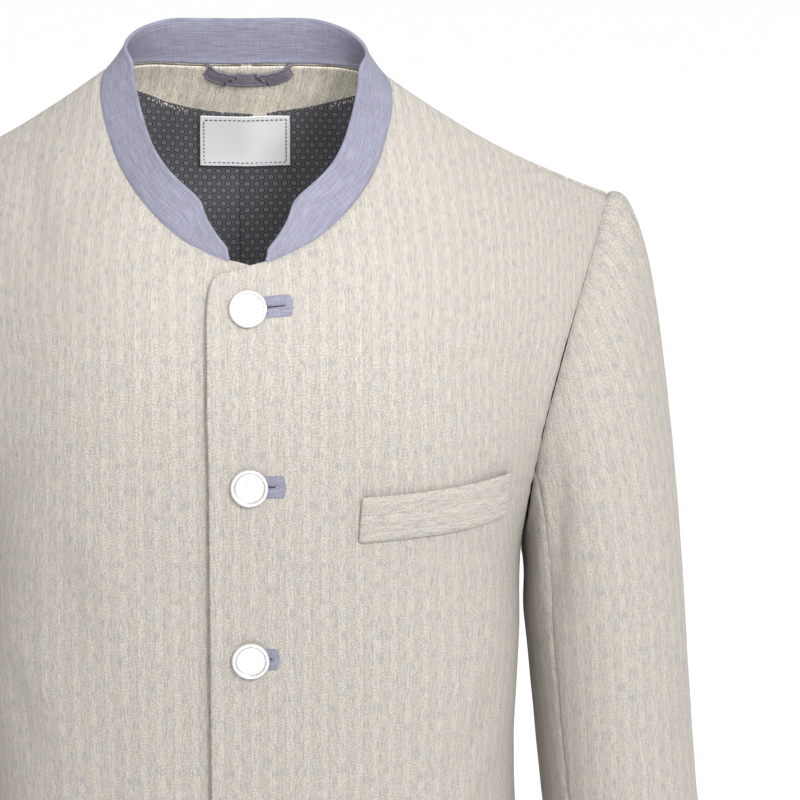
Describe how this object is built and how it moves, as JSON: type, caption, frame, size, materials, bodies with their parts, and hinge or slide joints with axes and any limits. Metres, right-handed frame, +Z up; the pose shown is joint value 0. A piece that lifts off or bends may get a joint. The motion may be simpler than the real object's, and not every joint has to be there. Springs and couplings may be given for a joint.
{
  "type": "trachten jacket",
  "caption": "Man's trachten jacket in beige herringbone linen, filled out as worn, with a lavender stand collar, bound buttonholes, metal buttons and a breast welt.",
  "frame": {"origin": "midway between the two points where the shoulder seams meet the neckline, where the wearer's shoulders hold the jacket up", "axes": "+Z up, the front faces -Y, the wearer's left is +X"},
  "size_m": [0.5678, 0.247, 0.735],
  "materials": {
    "linen": "beige and grey herringbone linen with pale slubs",
    "lavender": "plain lavender linen, matt with a light slub",
    "lining": "dark grey smooth lining with a small ring and dot print",
    "label": "bare white woven label",
    "loop": "grey lavender tape",
    "metal": "silver white cast metal, satin, worn bright on the rim"
  },
  "bodies": {
    "root": {"front_left": "linen", "front_right": "linen", "back_left": "linen", "back_right": "linen", "sleeve_left_upper": "linen", "sleeve_left_under": "linen", "sleeve_right_upper": "linen", "sleeve_right_under": "linen", "collar": "lavender", "facing_back_neck": "linen", "lining_back_left": "lining", "lining_back_right": "lining", "neck_label": "label", "hanger_loop": "loop", "welt_breast": "linen", "buttonhole_1": "lavender", "buttonhole_2": "lavender", "buttonhole_3": "lavender", "buttonhole_4": "lavender", "buttonhole_5": "lavender", "button_1": "metal", "button_2": "metal", "button_3": "metal", "button_4": "metal", "button_5": "metal"}
  },
  "joints": []
}
